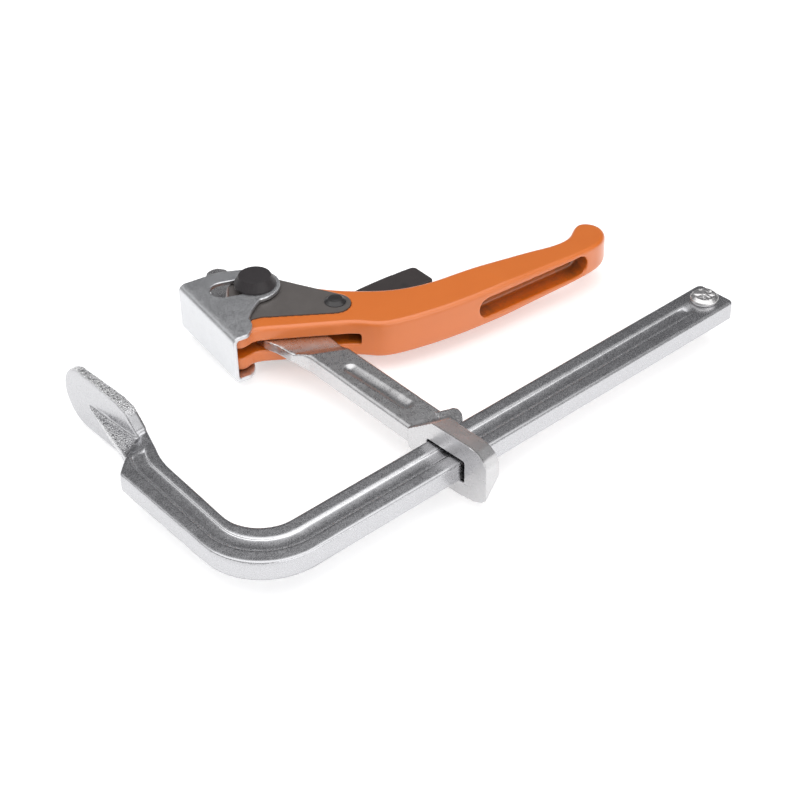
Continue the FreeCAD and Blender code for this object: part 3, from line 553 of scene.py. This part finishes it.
def closed_in(mesh, reach):
    """Stores the share of short rays from each point that meet the piece itself."""
    skin = BVHTree.FromPolygons([v.co for v in mesh.vertices],
                                [tuple(p.vertices) for p in mesh.polygons])
    fan = []
    for k in range(FAN):
        rise = (k + 0.7) / FAN
        flat, bearing = math.sqrt(1 - rise * rise), k * GOLDEN_TURN
        fan.append(Vector((flat * math.cos(bearing), flat * math.sin(bearing), rise)))
    store = mesh.attributes.new("closed_in", "FLOAT", "POINT")
    normals = [Vector(n.vector) for n in mesh.vertex_normals]
    for i, vertex in enumerate(mesh.vertices):
        turned = normals[i].to_track_quat("Z", "X")
        start = vertex.co + normals[i] * 0.0003
        met = sum(skin.ray_cast(start, turned @ ray, reach)[0] is not None for ray in fan)
        store.data[i].value = met / FAN
    return mesh


lever_mesh = closed_in(remade("lever_handle", 0.0006, 3, 0.00003, 0.012), RAY_REACH)
as_piece(lever_mesh, "orange_lever", ORANGE_COAT, "handle", "handle_paint", "lever_handle")

# %% [markdown]
# ## The shoe
# Two millimetre sheet, cut and folded. Its cut edges are sheared, so they are only just broken.

# %% Shoe piece
as_piece(remade("pressure_shoe", 0.0004, 2, 0.00002, 0.01), "folded_shoe",
         SHOE_STEEL, "shoe", "shoe_steel", "pressure_shoe")

# %% [markdown]
# ## The stop rivet
# Its heads were set with a punch of a few points, which leaves petals in the steel. The top of the
# head is a disc of rings, and each ring sinks where a petal was struck.

# %% Stop rivet piece
low_corner, high_corner = (Vector(c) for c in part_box("rail_stop_rivet"))
stop_middle = (low_corner + high_corner) / 2
stop_radius = (high_corner.x - low_corner.x) / 2
stop_top = high_corner.z - stop_middle.z
PETALS, ROUND, RINGS, LIP_STEPS = 5, 96, 14, 5
LIP_RADIUS, HEAD_HEIGHT = 0.0008, 0.0033


def stop_profile():
    """Radius and height of the upper half, from the shank's middle to the head's centre."""
    seat = stop_top - HEAD_HEIGHT
    points = [(0.003, 0.0), (0.003, seat), (stop_radius - 0.0003, seat),
              (stop_radius, seat + 0.0003), (stop_radius, seat + 0.0012)]
    edge = stop_radius - LIP_RADIUS
    for step in range(1, LIP_STEPS + 1):
        bend = math.radians(90 * step / LIP_STEPS)
        points.append((edge + LIP_RADIUS * math.cos(bend),
                       seat + 0.0012 + LIP_RADIUS * math.sin(bend)))
    points += [(edge * (1 - k / RINGS), stop_top - 0.00035) for k in range(1, RINGS)]
    return points


def petal_depth(radius, bearing):
    """How deep the punch went at a place on the head."""
    out = radius / stop_radius
    ring = math.exp(-((out - 0.5) / 0.2) ** 2)
    petal = max(0.0, math.cos(PETALS * bearing + 0.8 * math.sin(bearing * 2 + 1))) ** 1.5
    petal *= 0.7 + 0.3 * math.sin(bearing * 3 + 0.5)
    place = Vector((radius * math.cos(bearing), radius * math.sin(bearing), 0))
    crumple = abs(noise.noise(place * 700)) * (out < 0.9)
    middle = math.exp(-(out / 0.2) ** 2)
    return 0.0006 * ring * petal + 0.0003 * crumple - 0.0003 * middle


net = bmesh.new()
for side in (1, -1):
    rows = []
    for radius, height in stop_profile():
        row = []
        struck = height > stop_top - 0.0006 and radius < stop_radius * 0.95
        for k in range(ROUND):
            bearing = 2 * math.pi * k / ROUND
            sink = petal_depth(radius, bearing) if struck else 0
            row.append(net.verts.new((stop_middle.x + radius * math.cos(bearing),
                                      stop_middle.y + radius * math.sin(bearing),
                                      side * (height - sink))))
        rows.append(row)
    for below, above in zip(rows, rows[1:]):
        for k in range(ROUND):
            net.faces.new((below[k], below[(k + 1) % ROUND], above[(k + 1) % ROUND], above[k]))
    tip = net.verts.new((stop_middle.x, stop_middle.y, side * (stop_top - 0.0001)))
    for k in range(ROUND):
        net.faces.new((rows[-1][k], rows[-1][(k + 1) % ROUND], tip))
bmesh.ops.remove_doubles(net, verts=net.verts, dist=1e-6)
bmesh.ops.recalc_face_normals(net, faces=net.faces)
stop_mesh = bpy.data.meshes.new("struck_stop_rivet")
net.to_mesh(stop_mesh)
net.free()
# The same edge value everywhere gives the whole head a little of the painted edge highlight and no
# corner shade.
for point in stop_mesh.attributes.new("edge", "FLOAT", "POINT").data:
    point.value = 0.62
as_piece(stop_mesh, "struck_stop_rivet", STOP_STEEL, "rail", "stop_rivet_steel", "rail_stop_rivet")
print("stop rivet:", len(stop_mesh.polygons), "faces,", PETALS, "petals")

# %% [markdown]
# ## The pawl's spring
# A coil repeats one turn, which is a job for Geometry Nodes: a spiral makes the path, and a small
# circle follows it as the wire. The sizes are inputs of the tree, so another spring needs only
# other numbers.

# %% Spring tree
def spring_tree():
    """A coil of round wire that stands on the origin and rises along Z."""
    tree = bpy.data.node_groups.new("coil_spring", "GeometryNodeTree")
    inputs = {}
    for label, kind in (("Turns", "Float"), ("Coil radius", "Float"), ("Length", "Float"),
                        ("Wire radius", "Float"), ("Material", "Material")):
        item = tree.interface.new_socket(label, in_out="INPUT", socket_type="NodeSocket" + kind)
        inputs[label] = item.identifier
    tree.interface.new_socket("Geometry", in_out="OUTPUT", socket_type="NodeSocketGeometry")
    given = tree.nodes.new("NodeGroupInput")
    result = tree.nodes.new("NodeGroupOutput")

    def add(kind, **links):
        made = tree.nodes.new(kind)
        for socket, value in links.items():
            key = socket.replace("_", " ")
            if hasattr(value, "is_output"):
                tree.links.new(value, made.inputs[key])
            else:
                made.inputs[key].default_value = value
        return made

    path = add("GeometryNodeCurveSpiral", Resolution=24, Rotations=given.outputs["Turns"],
               Start_Radius=given.outputs["Coil radius"], End_Radius=given.outputs["Coil radius"],
               Height=given.outputs["Length"])
    wire = add("GeometryNodeCurvePrimitiveCircle", Resolution=12, Radius=given.outputs["Wire radius"])
    swept = add("GeometryNodeCurveToMesh", Curve=path.outputs[0],
                Profile_Curve=wire.outputs[0], Fill_Caps=True)
    real = add("GeometryNodeRealizeInstances", Geometry=swept.outputs[0])
    dressed = add("GeometryNodeSetMaterial", Geometry=real.outputs[0],
                  Material=given.outputs["Material"])
    tree.links.new(dressed.outputs[0], result.inputs[0])
    return tree, inputs


# %% Spring piece
WIRE_RADIUS, SPRING_TURNS, SPRING_KEEP = 0.00035, 6.0, 0.895
low_corner, high_corner = (Vector(c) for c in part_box("pawl_spring"))
coil_radius = (high_corner.x - low_corner.x) / 2 - WIRE_RADIUS
coil_length = high_corner.y - low_corner.y - 2 * WIRE_RADIUS
tree, inputs = spring_tree()
holder = bpy.data.objects.new("spring_holder", bpy.data.meshes.new("spring_holder"))
bpy.context.collection.objects.link(holder)
coil = holder.modifiers.new("coil", "NODES")
coil.node_group = tree
for label, value in (("Turns", SPRING_TURNS), ("Coil radius", coil_radius), ("Length", coil_length),
                     ("Wire radius", WIRE_RADIUS), ("Material", SPRING_STEEL)):
    coil[inputs[label]] = value
graph = bpy.context.evaluated_depsgraph_get()
spring_mesh = bpy.data.meshes.new_from_object(holder.evaluated_get(graph))
bpy.data.objects.remove(holder)
middle = (low_corner + high_corner) / 2
foot = Matrix.Translation((middle.x, low_corner.y + WIRE_RADIUS, middle.z))
spring_mesh.transform(foot @ Matrix.Rotation(-math.pi / 2, 4, "X"))
spring = as_piece(spring_mesh, "pawl_return_spring", SPRING_STEEL, "handle", "spring_steel",
                  "pawl_spring")
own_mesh(spring)
print("spring:", len(spring_mesh.polygons), "faces, box", [round(v, 4) for v in low_corner])

# %% [markdown]
# ## The pieces that keep their solids
# The rivets, the cheek plates, the pawl, its pin and the trigger are right as they are. They only
# need their finishes.

# %% Finishes on the plain solids
for node, material in (("cheek_plate_upper", PLATE_STEEL), ("cheek_plate_lower", PLATE_STEEL),
                       ("pivot_rivet", BLACK_RIVET), ("pawl_rivet", PAWL_RIVET_BLACK),
                       ("ratchet_pawl", PAWL_STEEL), ("release_trigger", TRIGGER_PLASTIC),
                       ("trigger_pin", PIN_STEEL)):
    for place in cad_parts[node].material_slots:
        place.material = material
print("finishes on 7 plain solids")

# %% [markdown]
# ## Floor and light
# Bright metal shows its surroundings, so the room matters more than the lamps. The clamp lies on
# a white floor, which the upright faces mirror. A wide soft lamp hangs overhead. Between the lamp
# and the horizon the far half of the room is dim, and that dim band is what the flats mirror
# towards the camera, so they look darker than the sides. The half behind the camera is an even
# grey. A softbox in front lights the sides, and one at the left lights the groove's wall on the
# arm. The floor adds a little white of its own, but only where the camera or a reflection looks at
# it, so it is white and still takes the soft shadow.

# %% Floor
FLOOR_HALF, FLOOR_GLOW = 4.0, 0.45
floor_z = cad_box[0][2] - 0.0001
floor_mesh = bpy.data.meshes.new("floor")
corners = [(x * FLOOR_HALF, y * FLOOR_HALF, floor_z) for x, y in ((-1, -1), (1, -1), (1, 1), (-1, 1))]
floor_mesh.from_pydata(corners, [], [(0, 1, 2, 3)])
floor = bpy.data.objects.new("floor", floor_mesh)
bpy.context.collection.objects.link(floor)
ground = Finish("floor_white", Base_Color=rgba(0.86, 0.86, 0.86), Roughness=0.9)
rays = ground.tree.nodes.new("ShaderNodeLightPath")
seen = (Wire(ground, rays.outputs["Is Camera Ray"]) + Wire(ground, rays.outputs["Is Glossy Ray"])
        + Wire(ground, rays.outputs["Is Transmission Ray"])).clamp()
glow = ground.node("ShaderNodeEmission", {}, {"Color": rgba(1, 1, 1), "Strength": seen * FLOOR_GLOW})
both = ground.node("ShaderNodeAddShader", {}, {0: Wire(ground, ground.shader.outputs[0]), 1: glow})
ground.tree.links.new(both.socket, ground.tree.nodes["Material Output"].inputs["Surface"])
floor_mesh.materials.append(ground.material)

# %% Lamp and room
def softbox(name, wide, high, watts, place, target=None):
    """A rectangular lamp, which hangs and shines straight down unless it has a target."""
    lamp_data = bpy.data.lights.new(name, "AREA")
    lamp_data.shape = "RECTANGLE"
    lamp_data.size, lamp_data.size_y = wide, high
    lamp_data.energy = watts
    lamp = bpy.data.objects.new(name, lamp_data)
    lamp.location = place
    if target:
        lamp.rotation_euler = (target - lamp.location).to_track_quat("-Z", "Y").to_euler()
    bpy.context.collection.objects.link(lamp)


CLAMP_MIDDLE = Vector((0.08, -0.05, 0.0))
softbox("overhead_softbox", 2.6, 2.2, 20.0, (-0.1, -0.2, 1.5))
softbox("front_softbox", 1.8, 0.9, 8.5, (0.1, -1.6, 0.55), CLAMP_MIDDLE)
softbox("left_softbox", 1.4, 1.0, 3.0, (-0.75, 1.05, 1.2), CLAMP_MIDDLE)

world = bpy.data.worlds.new("room")
world.use_nodes = True
bpy.context.scene.world = world
room = world.node_tree
direction = room.nodes.new("ShaderNodeTexCoord")
parts = room.nodes.new("ShaderNodeSeparateXYZ")
band = room.nodes.new("ShaderNodeValToRGB")
FAR_HALF = [(0.0, rgba(0.8, 0.8, 0.8)), (0.1, rgba(0.4, 0.4, 0.4)), (0.28, rgba(0.13, 0.13, 0.135)),
            (0.68, rgba(0.14, 0.14, 0.145)), (0.85, rgba(0.7, 0.7, 0.7))]
NEAR_HALF = rgba(0.47, 0.47, 0.47)
while len(band.color_ramp.elements) < len(FAR_HALF):
    band.color_ramp.elements.new(0.5)
for element, (height, colour) in zip(band.color_ramp.elements, FAR_HALF):
    element.position, element.color = height, colour
sight = room.nodes.new("ShaderNodeLightPath")
ahead = room.nodes.new("ShaderNodeVectorMath")
ahead.operation = "DOT_PRODUCT"
ahead.inputs[1].default_value = Vector((LOOK.x, LOOK.y, 0)).normalized()
beyond = room.nodes.new("ShaderNodeMapRange")
beyond.interpolation_type = "SMOOTHSTEP"
beyond.inputs["From Min"].default_value, beyond.inputs["From Max"].default_value = -0.1, 0.45
halves = room.nodes.new("ShaderNodeMix")
halves.data_type = "RGBA"
halves.inputs[6].default_value = NEAR_HALF
pick = room.nodes.new("ShaderNodeMix")
pick.data_type = "RGBA"
pick.inputs[7].default_value = rgba(1, 1, 1)
room.links.new(direction.outputs["Generated"], parts.inputs[0])
room.links.new(parts.outputs["Z"], band.inputs[0])
room.links.new(sight.outputs["Is Camera Ray"], pick.inputs[0])
room.links.new(direction.outputs["Generated"], ahead.inputs[0])
room.links.new(ahead.outputs["Value"], beyond.inputs["Value"])
room.links.new(beyond.outputs[0], halves.inputs[0])
room.links.new(band.outputs[0], halves.inputs[7])
room.links.new(halves.outputs[2], pick.inputs[6])
room.links.new(pick.outputs[2], room.nodes["Background"].inputs["Color"])
print("3 lamps, floor at", round(floor_z, 4))
